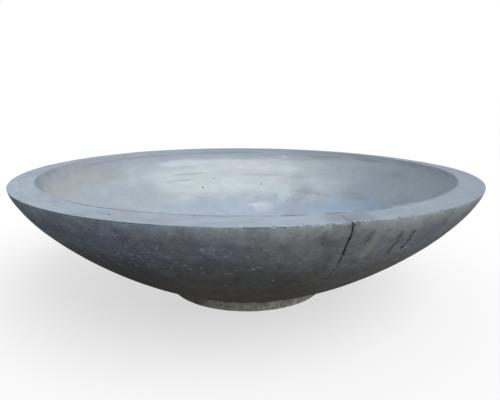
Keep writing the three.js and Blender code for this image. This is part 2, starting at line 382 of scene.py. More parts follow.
def sink_channels(grid, rows):
    """Sinks the columns at each bar of the hidden face as its channel, even in width."""
    spacing = TURN / BAR_COUNT
    bar = np.round(grid.a[rows] / spacing) * spacing
    offset = grid.a[rows] - bar
    known = np.concatenate([[-spacing / 2], CHANNEL_COLUMNS, [spacing / 2]])
    depth = np.interp(offset, CHANNEL_COLUMNS, CHANNEL_DEPTHS, left=0, right=0)
    for row, radius in enumerate(grid.r[rows][:, 0]):
        wanted = np.concatenate([[-spacing / 2], CHANNEL_HALF_WIDTHS / radius, [spacing / 2]])
        grid.a[rows][row] = bar[row] + np.interp(offset[row], known, wanted)
    grid.push(rows, -depth)


def open_crack(grid, rows, along):
    """Bends the columns to the crack's line and sinks the middle ones as a cleft, which is
    open by along, 0 to 1. Returns the marks of the cleft and of the stain beside it."""
    offset = signed(grid.a[rows] - CRACK_TOP)
    pull = smooth(np.clip(1 - np.abs(offset) / CRACK_PULL, 0, 1))
    height = grid.z[rows]
    line = np.interp(height, CRACK_HEIGHTS, CRACK_AZIMUTHS)
    run = np.stack([height * 0, height * 0, height + grid.r[rows]], -1)
    wander = smooth_noise(run, 17 * MM, 7) + 0.5 * smooth_noise(run, 6 * MM, 8)
    line = line + 0.5 * MM / RIM_RADIUS * wander
    grid.a[rows] += (line - CRACK_TOP) * pull
    breadth = (0.25 + 0.75 * along) * (1 + 0.35 * smooth_noise(run, 9 * MM, 9))
    half_width = np.maximum(CRACK_HALF_WIDTH / RIM_RADIUS * breadth, 1e-6)
    cleft = np.clip(1 - np.abs(offset) / half_width, 0, 1)
    grid.push(rows, -cleft * along * CRACK_DEPTH)
    shown = np.clip(along * 1.3, 0, 1)
    mark = np.clip(1.5 - np.abs(offset) / half_width, 0, 1) * shown
    darkening = np.clip(1 - np.abs(offset) * RIM_RADIUS / CRACK_STAIN, 0, 1) * shown
    return mark, darkening


def scoop(grid, rows, centre, radius, seed):
    """Moves the points inside a rough ball out to its skin. Returns how far each moved."""
    points = grid.points(rows)
    away = points - centre
    distance = np.linalg.norm(away, axis=-1)
    near = distance < 1.3 * radius
    edge = np.zeros_like(distance)
    edge[near] = radius * (1 + 0.25 * smooth_noise(points[near], 0.6 * radius, seed))
    moved = np.clip(edge - distance, 0, None)
    new = centre + away * (1 + moved / np.maximum(distance, 1e-6))[..., None]
    azimuth = np.arctan2(new[..., 0], -new[..., 1])
    inside = moved > 0
    grid.r[rows] = np.where(inside, np.hypot(new[..., 0], new[..., 1]), grid.r[rows])
    grid.z[rows] = np.where(inside, new[..., 2], grid.z[rows])
    grid.a[rows] += np.where(inside, signed(azimuth - grid.a[rows]), 0)
    return moved


def chip_rim(grid, rows, rng):
    """Chips the rim's outer corner, mostly in the worn stretch. Returns the broken mark."""
    spots = [(angle, rng.uniform(6, 10), rng.uniform(0.7, 1.5))
             for angle in rng.uniform(0, TURN, 26)]
    spots += [(angle, rng.uniform(3, 8), rng.uniform(1.2, 3.4))
              for angle in rng.uniform(*WORN_ARC, 44)]
    broken = np.zeros_like(grid.r[rows])
    for index, (angle, size, depth) in enumerate(spots):
        lean = rng.uniform(0.2, 0.7) * math.pi / 2
        reach = (size - depth) * MM
        centre = place(RIM_RADIUS - WORN + reach * math.cos(lean), angle,
                       RIM_HEIGHT - WORN + reach * math.sin(lean))
        broken = np.maximum(broken, scoop(grid, rows, centre, size * MM, 40 + index))
    return np.clip(broken / (0.5 * MM), 0, 1)


def hollow_out(grid, rows, hollow, seed):
    """Makes one larger hollow in the flank. Returns its mark."""
    azimuth, height, size = np.array(hollow) * (TURN / 360, MM, MM)
    radius = np.interp(height, *FLANK_LINE.points[::-1, ::-1].T)
    centre = place(radius + size * 0.55, azimuth, height - size * 0.25)
    return np.clip(scoop(grid, rows, centre, size, seed) / (0.25 * size), 0, 1)


def pick_pits(grid, rows, rng):
    """Picks quads to hold air holes: in clusters, but never side by side, and not in the
    narrow columns."""
    rows = np.arange(rows.start + 3, rows.stop - 10)
    row, column = rng.choice(rows, PIT_COUNT * 6), rng.integers(0, grid.shape[1], PIT_COUNT * 6)
    here = place(grid.r[row, column], grid.a[row, column], grid.z[row, column])
    wide = signed(grid.a[row, (column + 1) % grid.shape[1]] - grid.a[row, column])
    wanted = np.exp(-((here[:, 2] - PIT_HEIGHT) / PIT_SPREAD) ** 2) + 0.07
    wanted *= 0.7 + 0.9 * smooth_noise(here, 70 * MM, 21)
    sparse = np.abs(signed(grid.a[row, column]) - WORN_ARC.mean()) < np.ptp(WORN_ARC) / 2
    wanted[sparse] *= 0.35
    wanted[wide < 0.8 * COARSE_COLUMN] = 0
    taken, picked = set(), []
    for index in np.flatnonzero(rng.random(len(row)) < wanted):
        spot = int(row[index]), int(column[index])
        if spot in taken:
            continue
        taken.update((spot[0] + i, spot[1] + j) for i in (-1, 0, 1) for j in (-1, 0, 1))
        picked.append(spot)
    return picked[:PIT_COUNT]


def add_pits(points, grid, picked, rng):
    """Builds an air hole into each picked quad: a lip, a narrower ring and a bottom.
    Returns all points, the holes' faces, and each point's mark: 0.5 on the lower side of a hole
    and 1 on its upper side, which the material reads to paint light on the lower side and shade
    on the upper."""
    columns = grid.shape[1]
    around = 5 * math.pi / 4 + np.arange(PIT_SIDES) * TURN / PIT_SIDES
    extra, depths, faces = [], [], []
    for row, column in picked:
        on = (column + 1) % columns
        corners = [row * columns + column, row * columns + on,
                   (row + 1) * columns + on, (row + 1) * columns + column]
        quad = points[corners]
        across = (quad[1] + quad[2] - quad[0] - quad[3]) / 2
        up = (quad[2] + quad[3] - quad[0] - quad[1]) / 2
        inwards = np.cross(up, across)
        inwards /= np.linalg.norm(inwards)
        size = 0.13 + 0.33 * rng.random() ** 1.6
        flatness = rng.uniform(0.3, 0.8)
        depth = size * rng.uniform(0.5, 0.9) * np.linalg.norm(up)
        centre = quad.mean(0) + rng.uniform(-0.3, 0.3, 2) * (0.45 - size) @ [across, up]
        first = len(points) + len(extra)
        for spread, fall in ((1, 0), (0.7, 0.7)):
            rough = size * spread * rng.uniform(0.8, 1.12, PIT_SIDES)[:, None]
            ring = (across * np.cos(around)[:, None]
                    + up * flatness * np.sin(around)[:, None])
            extra.extend(centre + ring * rough + inwards * fall * depth)
            # The lower side is marked for painted light, the upper side for painted shade.
            depths.extend(np.where(np.sin(around) < 0.1, 0.5, 1))
        extra.append(centre + inwards * depth)
        depths.append(0.75)
        bottom = first + 2 * PIT_SIDES
        for k in range(PIT_SIDES):
            lip, lip_on = first + k, first + (k + 1) % PIT_SIDES
            side = k // 2
            here, after = corners[side], corners[(side + 1) % 4]
            faces.append([here, lip_on, lip] if k % 2 == 0 else [after, lip_on, lip])
            if k % 2 == 0:
                faces.append([here, after, lip_on])
            faces.append([lip, lip_on, lip_on + PIT_SIDES, lip + PIT_SIDES])
            faces.append([lip + PIT_SIDES, lip_on + PIT_SIDES, bottom])
    return (np.concatenate([points, extra]), faces,
            np.concatenate([np.zeros(len(points)), depths]))


def shell_section():
    """The plain shell: underside, flank, rim and the hidden face of the joint."""
    rim_start, rim_end = RIM_RADIUS - EDGE_BREAK, SEAM_RADIUS + JOINT_ROUND
    down = EDGE_BREAK + graded(FLANK_LINE.length - EDGE_BREAK, 1.2 * MM, 5.2 * MM, 0.07)
    radii = rim_start - graded(rim_start - rim_end, 1.4 * MM, 4.5 * MM)[1:]
    corner = rounded(FLANK_LINE.at(EDGE_BREAK), (RIM_RADIUS, RIM_HEIGHT),
                     (rim_start, rim_height(rim_start)), 5)
    edge = rounded((rim_end, rim_height(rim_end)), SEAM_LINE.at(0), SEAM_LINE.at(JOINT_ROUND))
    channels = np.linspace(BAR_TOP + 0.1 * MM, floor_distance(BAR_HUB), 17)
    past_channels = [channels[-1] + 0.1 * MM, floor_distance(HOLE_RADIUS)]
    underside = [(radius, UNDERSIDE) for radius in np.linspace(HOLE_RADIUS, FOOT_TOP_RADIUS, 5)]
    return Grid(shell_columns(), (underside[:-1], "underside"),
                (FLANK_LINE.at(down[::-1]), "flank"), (corner[1:], "corner"),
                (np.stack([radii, rim_height(radii)], 1), "rim"), (edge[1:], "edge"),
                (SEAM_LINE.at([14 * MM, BAR_TOP]), "joint"),
                (SEAM_LINE.at(channels), "channels"), (SEAM_LINE.at(past_channels), "joint"))


def wear_shell(grid, rng):
    """Gives the shell its relief, joint, crack, chips and hollows. Returns the marks that
    its material reads."""
    corner = (RIM_RADIUS - grid.r) * (grid.z > RIM_HEIGHT - EDGE_BREAK) + grid.z - RIM_HEIGHT
    for wear in CAST_WEAR:
        grid.wear(grid.rows("flank", "corner", "rim", "edge"), *wear)
    sink_channels(grid, grid.rows("channels"))
    marks = {name: np.zeros(grid.shape) for name in ("seam", "broken", "crack", "halo")}
    over = np.where(grid.r > SEAM_RADIUS, 0.5 + corner / (2 * CORNER_REACH), 0)
    marks["rim"] = np.clip(over, 0, 1)
    marks["seam"][grid.rows("edge")] = 1
    shape_joint(grid, grid.rows("edge"), grid.rows("rim").stop - 1)
    face, rim = grid.rows("flank", "corner"), grid.rows("rim", "edge")
    along = np.interp(grid.z[face], CRACK_HEIGHTS, CRACK_WIDTHS)
    marks["crack"][face], marks["halo"][face] = open_crack(grid, face, along)
    along = np.clip((grid.r[rim] - RIM_CRACK_END) / (RIM_RADIUS - RIM_CRACK_END), 0, 1) * 0.8
    marks["crack"][rim], marks["halo"][rim] = open_crack(grid, rim, along)
    edge = slice(face.stop - 30, rim.start + 8)
    marks["broken"][edge] = chip_rim(grid, edge, rng)
    flank = grid.rows("flank")
    for index, hollow in enumerate(HOLLOWS):
        hollow_out(grid, flank, hollow, 90 + index)
    marks["crack"][flank] += hollow_out(grid, flank, DARK_HOLLOW, 99)
    return marks


def build_shell(material):
    """The first lift: cast flank, rim, hidden joint face with the bars' channels."""
    grid, rng = shell_section(), np.random.default_rng(5)
    marks = wear_shell(grid, rng)
    picked = pick_pits(grid, grid.rows("flank"), rng)
    grid.settle()
    points, pit_faces, pits = add_pits(grid.points().reshape(-1, 3), grid, picked, rng)
    spare = np.zeros(len(points) - grid.r.size)
    marks = {name: np.append(values, spare) for name, values in marks.items()}
    marks["pit"] = pits
    make_piece("shell_surface", points, grid.faces(picked) + pit_faces, material,
               ["bowl_shell"], marks)


# ---- Inner lining ----

# Size, depth, seed and how far it is drawn out round the bowl.
TROWEL_WEAR = ((90 * MM, 1.2 * MM, 31, 2), (22 * MM, 0.4 * MM, 32, 3))


def hoop_grooves():
    """The grooves the lining keeps round the hoops: distance along the joint, height of
    the hoop's centre over the lining's face, and radius."""
    distances = np.linspace(0, SEAM_LINE.length + 0.13, 6000)
    line = SEAM_LINE.at(distances)
    grooves = []
    for name, radius in HOOPS.items():
        low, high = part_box(name)
        centre = np.array([high.x - radius, (low.z + high.z) / 2])
        off = np.linalg.norm(line - centre, axis=1)
        grooves.append((distances[off.argmin()], off.min() - GAP, radius + 1.3 * MM))
    return sorted(grooves)


def lining_section():
    """The plain lining: hidden face with the hoops' grooves, strip on the rim, inside."""
    stops = [(down, 0.0) for down in np.linspace(24 * MM, floor_distance(HOLE_RADIUS), 24)]
    for down, height, radius in hoop_grooves():
        stops = [stop for stop in stops if abs(stop[0] - down) > radius + 3 * MM]
        stops += [(down - radius, 0.0), (down + radius, 0.0)]
        stops += [(down + side * radius * 0.999, height + radius * math.sqrt(1 - side ** 2))
                  for side in (-1, -0.7, 0, 0.7, 1)]
    hidden, heights = np.array(sorted(stops, reverse=True)).T
    strip_start = SEAM_RADIUS - GAP - JOINT_ROUND
    strip_end = INNER_RADIUS + EDGE_BREAK
    edge = rounded(SEAM_LINE.at(JOINT_ROUND, GAP), SEAM_LINE.at(0, GAP),
                   (strip_start, rim_height(strip_start)))
    lip = rounded((strip_end, rim_height(strip_end)), (INNER_RADIUS, rim_height(INNER_RADIUS)),
                  INSIDE_LINE.at(EDGE_BREAK), 5)
    down = EDGE_BREAK + graded(INSIDE_LINE.length - EDGE_BREAK, 1.6 * MM, 6 * MM)[1:]
    drain = np.array([HOLE_RADIUS, PIPE_HIGH.z])
    run_out = INSIDE_LINE.at(INSIDE_LINE.length)[0]
    floor = [run_out + (drain - run_out) * t for t in np.linspace(0, 0.97, 15)[1:]]
    return Grid(evenly(540), (SEAM_LINE.at(hidden, GAP + heights), "joint"), (edge, "edge"),
                (lip, "lip"), (INSIDE_LINE.at(down), "inside"), (floor, "inside"),
                (drain, "joint"))


def build_lining(material):
    """The second lift: trowelled inside, floor to the drain, and the strip on the rim."""
    grid = lining_section()
    skin, edge = grid.rows("edge", "lip", "inside"), grid.rows("edge")
    below = np.clip((RIM_HEIGHT - 2 * MM - grid.z[skin]) / (25 * MM), 0, 1)
    for wear in CAST_WEAR:
        grid.wear(skin, *wear, share=1 - below)
    for wear in TROWEL_WEAR:
        grid.wear(skin, *wear, share=below)
    marks = {"rim": np.zeros(grid.shape), "seam": np.zeros(grid.shape)}
    marks["rim"][grid.rows("lip")] = np.linspace(1, 0.2, 5)[:, None]
    marks["rim"][edge] = marks["seam"][edge] = 1
    shape_joint(grid, edge, edge.stop - 1)
    grid.settle()
    make_piece("lining_surface", grid.points(), grid.faces(), material,
               ["inner_lining"], marks)


# ---- Foot, mortar and drain ----

FOOT_MIDDLE = (FOOT_RADIUS + FOOT_INNER_RADIUS) / 2
FOOT_WEAR = ((24 * MM, 0.9 * MM, 51), (5 * MM, 0.5 * MM, 52))
WEEP_PULL = math.radians(12)  # how far the columns bend towards a weep hole
MORTAR_BULGE = 1.6 * MM


def foot_columns():
    """Column azimuths, closer together at the weep holes."""
    plain = evenly(360)
    arch = -np.cos(np.linspace(0, math.pi, 11)) * WEEP_RADIUS / FOOT_MIDDLE
    for weep in WEEP_AZIMUTHS:
        plain = plain[np.abs(plain - weep) > arch[-1] + 0.004]
    return np.sort(np.concatenate([plain, np.add.outer(WEEP_AZIMUTHS, arch).ravel()]))


def build_foot(material):
    """The ring foot, cast rough, with an arched weep hole on each side of the back."""
    top, edge, inner = FOOT_HIGH.z, 1.5 * MM, FOOT_INNER_RADIUS
    grid = Grid(foot_columns(), (np.linspace((inner, 0), (FOOT_RADIUS - edge, 0), 9), "sole"),
                (np.linspace((FOOT_RADIUS, MM), (FOOT_TOP_RADIUS, top - MM), 9)[1:], "side"),
                (np.linspace((FOOT_TOP_RADIUS - edge, top), (inner, top), 7), "top"),
                (np.linspace((inner, top), (inner, 0), 7)[1:-1], "inner"))
    for wear in FOOT_WEAR:
        grid.wear(grid.rows("side"), *wear)
    for weep in WEEP_AZIMUTHS:
        offset = grid.a - weep
        ease = np.clip(1 - np.abs(offset) / WEEP_PULL, 0, 1)
        grid.a += offset * (FOOT_MIDDLE / grid.r - 1) * ease
        half = (offset * FOOT_MIDDLE / WEEP_RADIUS) ** 2
        rise = WEEP_RADIUS * np.sqrt(np.clip(1 - half, 0, 1))
        grid.z += rise * (1 - grid.z / top)
    make_piece("foot_surface", grid.points(), grid.faces(), material,
               ["foot_ring"])


def build_mortar(material):
    """The mortar joint between foot and bowl: struck back, with an uneven edge."""
    low, high = MORTAR_LOW.z, MORTAR_HIGH.z
    inner, outer = FOOT_INNER_RADIUS + 2.5 * MM, MORTAR_HIGH.x
    face = [(outer - MORTAR_BULGE * (2 * step - 1) ** 2, low + (high - low) * step)
            for step in np.linspace(0, 1, 6)]
    grid = Grid(evenly(360), (np.linspace((inner, low), (outer, low), 5)[:-1], "bed"),
                (face, "face"), (np.linspace((outer, high), (inner, high), 5)[1:], "bed"))
    grid.wear(grid.rows("face"), 12 * MM, 1.5 * MM, 61)
    make_piece("mortar_surface", grid.points(), grid.faces(), material,
               ["mortar_bed"])


def build_drain(material):
    """The plastic pipe that lines the drain hole, with its cut ends rounded."""
    low, high = PIPE_LOW.z, PIPE_HIGH.z
    inner, outer, edge = PIPE_RADIUS - PIPE_WALL, PIPE_RADIUS, 0.5 * MM
    stretches = (rounded((inner, low + edge), (inner, low), (inner + edge, low)),
                 rounded((outer - edge, low), (outer, low), (outer, low + edge)),
                 np.linspace((outer, low), (outer, high), 5)[1:-1],
                 rounded((outer, high - edge), (outer, high), (outer - edge, high)),
                 rounded((inner + edge, high), (inner, high), (inner, high - edge)),
                 np.linspace((inner, high), (inner, low), 5)[1:-1])
    grid = Grid(evenly(72), *((points, "wall") for points in stretches))
    make_piece("drain_pipe", grid.points(), grid.faces(), material, ["drain_sleeve"])


# ---- Material graphs ----


def arithmetic(operation, swapped=False):
    """A method for one kind of sum between signals and numbers."""
    def method(self, *other):
        return self.graph.math(operation, *((*other, self) if swapped else (self, *other)))
    return method


class Signal:
    """A value that varies over a surface: a node's output, with arithmetic."""

    def __init__(self, graph, socket):
        self.graph = graph
        self.socket = socket

    __add__ = __radd__ = arithmetic("ADD")
    __mul__ = __rmul__ = arithmetic("MULTIPLY")
    __sub__ = arithmetic("SUBTRACT")
    __rsub__ = arithmetic("SUBTRACT", swapped=True)
    __truediv__ = arithmetic("DIVIDE")
    __abs__ = arithmetic("ABSOLUTE")


class Nodes:
    """A node tree in few words."""

    def __init__(self, tree):
        self.tree = tree

    def feed(self, socket, value):
        """Links a signal to a socket, or sets a number or a colour on it."""
        if isinstance(value, Signal):
            self.tree.links.new(value.socket, socket)
        elif isinstance(value, tuple):
            socket.default_value = (value + (1,))[:len(socket.default_value)]
        else:
            socket.default_value = value

    def made(self, kind, inputs, output=0, **settings):
        """An output of a new node, with these inputs and settings."""
        node = self.tree.nodes.new("ShaderNode" + kind)
        for key, value in settings.items():
            setattr(node, key, value)
        for key, value in inputs.items():
            self.feed(node.inputs[key], value)
        return Signal(self, node.outputs[output])

    def beside(self, signal, output):
        """Another output of the same node."""
        return Signal(self, signal.socket.node.outputs[output])

    def math(self, operation, *values):
        return self.made("Math", dict(enumerate(values)), operation=operation)


ARC_RADIUS = 0.45  # of the turned coordinates near the axis


class Graph(Nodes):
    """A material's nodes. Lengths are millimetres and azimuths degrees."""

    def __init__(self, name):
        self.material = bpy.data.materials.new(name)
        self.material.use_nodes = True
        super().__init__(self.material.node_tree)
        self.position = self.made("TexCoord", {}, "Object")
        self.x = x = self.made("SeparateXYZ", {0: self.position})
        self.y = y = self.beside(x, "Y")
        self.z = self.beside(x, "Z") * 1000
        length = self.math("SQRT", x * x + y * y)
        self.radius = length * 1000
        self.azimuth = self.math("ARCTAN2", x, 0 - y) * (180 / math.pi)
        self.behind = self.math("ARCTAN2", x, y) * (180 / math.pi)  # 0 at the back
        reach = length + (ARC_RADIUS - length) * self.ramp(self.radius, 80, 210)
        self.arc_x, self.arc_y = x / length * reach, y / length * reach

    def ramp(self, value, low, high, result=(0, 1)):
        """Rises smoothly as the value goes from low to high, or falls if low is larger."""
        return self.made("MapRange", dict(enumerate((value, low, high, *result))),
                         interpolation_type="SMOOTHSTEP")

    def band(self, value, centre, reach):
        """1 at the centre, falling smoothly to 0 at the reach on both sides."""
        return self.ramp(abs(value - centre), reach, 0)

    def window(self, value, low, high, fade):
        """1 from low to high, falling to 0 over the fade outside them."""
        return self.ramp(value, low - fade, low) * self.ramp(value, high + fade, high)

    def area(self, azimuth, span, along=None):
        """A window of azimuth and one of height, or of another signal."""
        return self.window(self.azimuth, *azimuth) * self.window(along or self.z, *span)

    def turned(self, across, stretch):
        """Coordinates round the bowl, by arc, with across, in mm, as a stretched third."""
        return self.made("CombineXYZ", {0: self.arc_x, 1: self.arc_y,
                                        2: across * (0.001 * stretch)})

    def noise(self, size, detail=3, roughness=0.5, at=None, distortion=0.0):
        """Noise about 0.5 with features as wide as size, in mm."""
        return self.made("TexNoise", {"Vector": at or self.position, "Scale": 1000 / size,
                                      "Detail": detail, "Roughness": roughness,
                                      "Distortion": distortion})

    def drawn(self, size, detail, stretch, roughness=0.5, distortion=0.0):
        """Noise that is so many times wider along the circumference than it is high."""
        return self.noise(size, detail, roughness, self.turned(self.z, stretch), distortion)

    def spots(self, size, fill):
        """Round spots: 1 in the middle of a share of the cells as wide as size."""
        away = self.made("TexVoronoi", {"Vector": self.position, "Scale": 1000 / size})
        chance = self.made("SeparateColor", {0: self.beside(away, "Color")})
        return self.ramp(away, 0.42, 0.12) * self.ramp(chance, fill + 0.02, fill)

    def patch(self, angle, spot, fade=0.5):
        """1 on a ragged patch: its azimuth in the angle's degrees, and its height, width
        and length down the face in mm."""
        centre, height, width, length = spot
        across = (angle - centre) * self.radius * (TURN / 180 / width)
        along = (self.z - height) * (2 / length)
        ragged = (self.noise(0.5 * (width + length), 3, 0.6) - 0.5) * 1.4
        away = self.math("SQRT", across * across + along * along) + ragged
        return self.ramp(away, 1 + fade / 2, 1 - fade / 2)

    def mark(self, label):
        """A mesh attribute."""
        return self.made("Attribute", {}, "Fac", attribute_name=label)

    def mix(self, factor, first, second, blend="MIX"):
        return self.made("Mix", {0: factor, 6: first, 7: second}, 2, data_type="RGBA",
                         blend_type=blend)

    def coats(self, colour, *coats, blend="MIX"):
        """The colour under coats of other colours, each after its factor."""
        for factor, coat in coats:
            colour = self.mix(factor, colour, coat, blend)
        return colour

    def scale(self, colour, amount):
        """The colour times an amount."""
        return self.made("VectorMath", {0: colour, "Scale": amount}, operation="SCALE")

    def ladder(self, value, steps):
        """A colour that goes smoothly through (position, colour) steps."""
        return self.coats(steps[0][1], *((self.ramp(value, low, high), colour)
                                         for (low, _), (high, colour) in zip(steps, steps[1:])))

    def finish(self, colour, roughness, height, bump_mm, specular=0.35, metallic=0.0):
        """Sets the shader's inputs. Height is 0 to 1, over a bump so many mm high."""
        bump = self.made("Bump", {"Distance": bump_mm * MM, "Height": height})
        shader = self.tree.nodes["Principled BSDF"]
        for label, value in (("Base Color", colour), ("Roughness", roughness), ("Normal", bump),
                             ("Metallic", metallic), ("Specular IOR Level", specular)):
            self.feed(shader.inputs[label], value)
        return self.material


# ---- Cast concrete ----

# The cast face's colour from the foot up, by height in mm, with painted shade: far darker
# towards the foot, where the flank faces down.
FLANK_SHADE_LADDER = ((70, (0.042, 0.039, 0.036)), (110, (0.056, 0.053, 0.049)),
                 (150, (0.075, 0.075, 0.075)), (190, (0.108, 0.113, 0.122)),
                 (214, (0.170, 0.185, 0.205)), (236, (0.182, 0.200, 0.228)),
                 (252, (0.258, 0.286, 0.303)), (270, (0.335, 0.378, 0.405)))
FLANK_BLUE = (0.88, 0.96, 1.18)  # the tints multiply the colour
FLANK_BROWN = (1.11, 1.0, 0.90)
FLANK_GREEN = (1.02, 1.02, 0.94)
FLANK_WARM = (1.22, 1.17, 1.11)
STREAK_PALE = (0.300, 0.312, 0.278)
RIM_COLOUR = (0.345, 0.405, 0.480)
RIM_SHADE = (0.262, 0.302, 0.370)
RIM_PINK = (0.365, 0.365, 0.405)
RIM_PURPLE = (0.225, 0.240, 0.310)
JOINT_COLOUR = (0.185, 0.205, 0.260)
FRESH_PASTE = (0.310, 0.345, 0.370)  # inside air holes
BROKEN_PASTE = (0.310, 0.345, 0.375)  # on broken edges
# Near black, for dirt and for painted shade under the rim's corner.
DIRT_AND_SHADE = (0.018, 0.018, 0.020)

# Dark streaks: azimuth at the low end and lean per mm in degrees, reach to each side,
# lowest and highest point and fade in mm, and strength.
STREAKS = ((30.556, 0.022, 0.62, 212, 242, 4, 1), (27.3, 0.013, 0.66, 203, 228, 5, 1),
           (26.9, 0, 1.1, 236, 244, 5, 0.7), (20.2, 0, 0.8, 238, 252, 5, 0.55),
           (12.0, 0, 0.7, 240, 256, 6, 0.5))

# Pale flecks, partly loose paste and partly painted light on the lit lower lips of hollows:
# azimuth in degrees, height, width and length in mm.
FLECKS = ((10.1, 213, 10, 3.5), (9.5, 203, 4, 6), (1.0, 239, 8, 3), (4.7, 240, 3, 5),
          (8.3, 229, 2.5, 6), (1.2, 194, 6, 4), (5.4, 163, 3, 5), (0.2, 220, 5, 3.5),
          (22.0, 196, 9, 3.5), (20.8, 212, 3.5, 6), (21.5, 203, 4, 3), (29.4, 204, 8, 4),
          (32.2, 206, 4, 7), (-7.0, 232, 8, 6), (-3.3, 221, 8, 2.5), (-11.1, 198, 9, 2.5),
          (-20.8, 211, 8, 3), (-24.6, 244, 5, 3), (-28.0, 247, 4, 3), (-21.8, 245, 8, 2.5))

# Brighter and darker stretches of the rim: from, to and fade in degrees, and gain.
RIM_GAINS = ((-64, 12, 16, 0.12), (-52, -22, 8, -0.03), (17, 27, 3, -0.03))
JOINT_PIECES = ((6.5, 10), (14, 17), (19.5, 23.5), (25, 28))  # from and to, in degrees


def flank_colour(g):
    """Colour of the cast outside face, with painted shade low down, on the front left and at
    both far ends, and painted light on the right.
    """
    calm = 1 - g.ramp(g.x, 0.14, 0.28) * 0.45
    waver = (g.noise(85, 2) - 0.5) * 56 + (g.noise(22, 3, 0.6) - 0.5) * 34
    # Painted shade: the height ladder darkens the flank towards the foot.
    colour = g.ladder(g.z + waver * calm, FLANK_SHADE_LADDER)
    front = g.ramp(g.y, -0.02, -0.16)
    left, right = g.ramp(g.x, -0.02, -0.24) * front, g.ramp(g.x, 0.04, 0.20)
    low = g.ramp(g.z, 215, 165)
    # Painted light and shade: the front left darker and the right lighter, both more so low
    # down, and both far ends darker.
    side = 1 - left * (0.33 + low * 0.20) + right * (0.04 + low * 0.42)
    side = side - g.ramp(g.x, 0.22, 0.42) * 0.14 - g.ramp(g.x, -0.24, -0.42) * front * 0.22
    blue = (left * g.ramp(g.z, 120, 190, (0.2, 1))
            + g.ramp(g.x, 0.08, -0.08) * front * g.ramp(g.z, 175, 225)) * 0.35
    brown = (g.ramp(g.noise(75, 2), 0.46, 0.62) * g.ramp(g.z, 200, 120)
             * g.ramp(g.x, 0.14, 0, (0.2, 1)))
    green = g.ramp(g.drawn(50, 2, 0.5), 0.5, 0.64) * g.window(g.z, 90, 235, 40)
    warm = g.area((8, 11.5, 2), (190, 262, 12))
    colour = g.coats(g.scale(colour, side), (blue, FLANK_BLUE), (brown, FLANK_BROWN),
                     (green, FLANK_GREEN), (warm, FLANK_WARM), blend="MULTIPLY")
    blots = g.ramp(g.noise(30, 3, 0.6, distortion=0.5), 0.40, 0.66) - 0.5
    mottle = blots * 0.24 + (g.noise(10, 3, 0.65) - 0.5) * (0.7 + low * 0.5)
    drips = (g.drawn(15, 3, 0.2) - 0.5) * 0.25 * right
    brushed = (g.drawn(14, 2, 6) - 0.5) * 0.26
    colour = g.scale(colour, 1 + mottle * calm + drips + brushed)
    speckled = g.window(g.z, 188, 250, 15) * g.ramp(g.noise(50), 0.42, 0.58)
    specks = g.ramp(g.drawn(9, 1, 4), 0.63, 0.70) * 0.7 + g.spots(8, 0.12) * 0.5
    return g.mix(specks * speckled, colour, FRESH_PASTE)


def flank_streaks(g, colour):
    """The marks that water and dirt have drawn down the flank in the front right."""
    wander = (g.noise(20, 3) - 0.5) * 1.2
    azimuth = g.azimuth + wander
    pale = g.band(azimuth, 21.6, 1.6) * g.window(g.z, 205, 268, 10)
    wash = g.window(azimuth, 17.5, 30, 3) * g.window(g.z, 190, 262, 12)
    wash *= g.ramp(g.noise(20, 3), 0.38, 0.6)
    dark = g.band(azimuth, 14.6, 1.3) * g.window(g.z, 190, 214, 20) * 0.35
    ragged = g.azimuth + wander * 0.5 + (g.noise(5, 2) - 0.5) * 0.6
    for centre, lean, reach, low, high, fade, strength in STREAKS:
        line = g.band(ragged + (g.z - low) * lean, centre, reach)
        dark += line * g.window(g.z, low, high, fade) * strength
    fray = g.ramp(g.noise(5, 3, 0.6), 0.38, 0.54)
    return g.coats(colour, (pale * 0.7 + wash * 0.25, STREAK_PALE), (dark * fray * 0.85, DIRT_AND_SHADE))


def flank_flecks(g, colour):
    """Pale flecks, partly loose paste and partly painted light on the lips of hollows, and the
    dark hole with its pale ring.
    """
    flecks = sum(g.patch(g.azimuth, spot) for spot in FLECKS)
    azimuth, height, size = DARK_HOLLOW
    ring = g.patch(g.azimuth, (azimuth + 0.4, height - 1, size * 3.4, size * 2.2))
    hole = g.patch(g.azimuth, (azimuth, height, size * 1.8, size * 1.3))
    return g.coats(colour, (g.math("MINIMUM", flecks, 1) * 0.75, FRESH_PASTE),
                   (ring * 0.5, FRESH_PASTE), (hole, DIRT_AND_SHADE))


def rim_colour(g):
    """Colour of the flat rim, floated smooth."""
    strokes = g.noise(40, 3, at=g.turned(g.radius, 3))
    colour = g.coats(RIM_SHADE, (g.ramp(strokes, 0.2, 0.66, (0.25, 1)), RIM_COLOUR),
                     (g.ramp(g.x, 0.16, 0.42) * 0.7, RIM_SHADE))
    gain = 1.04 - g.ramp(g.x, 0.43, 0.47) * 0.08
    for low, high, fade, change in RIM_GAINS:
        gain += g.window(g.azimuth, low, high, fade) * change
    outer = g.ramp(g.radius, 466, 486) * g.window(g.azimuth, -30, 14, 8)
    clouds = (g.noise(60, 2) - 0.5) * 0.2 + (g.noise(7, 3, 0.6) - 0.5) * 0.11
    colour = g.scale(colour, gain - outer * 0.04 + clouds)
    pink = g.area((-23, -20, 3), (452, 472, 6), g.radius) * 0.7
    pink += g.ramp(g.noise(70, 2), 0.58, 0.72) * 0.25
    purple = g.area((15.2, 20, 3), (466, 484, 10), g.radius) * 0.35
    purple += g.window(g.behind, -42, 22, 8) * 0.7
    purple += g.area((13.5, 29, 2), (458, 462, 5), g.radius) * 0.25
    hairline = g.band(g.azimuth + (g.noise(14, 3) - 0.5) * 1.6, 16.1, 0.16)
    ticks = g.band(g.azimuth, -8.8, 0.16) * g.window(g.radius, 465, 470, 2) * 0.5
    ticks += g.band(g.azimuth, -23.6, 0.28) * g.band(g.radius, 478, 3) * 1.6
    lines = g.math("MINIMUM", hairline * g.window(g.radius, 470, 496, 4) + ticks, 1)
    return g.coats(colour, (pink * g.ramp(g.noise(16), 0.3, 0.6), RIM_PINK),
                   (purple * g.ramp(g.noise(28, 3), 0.2, 0.6), RIM_PURPLE),
                   (lines * 0.6, DIRT_AND_SHADE))


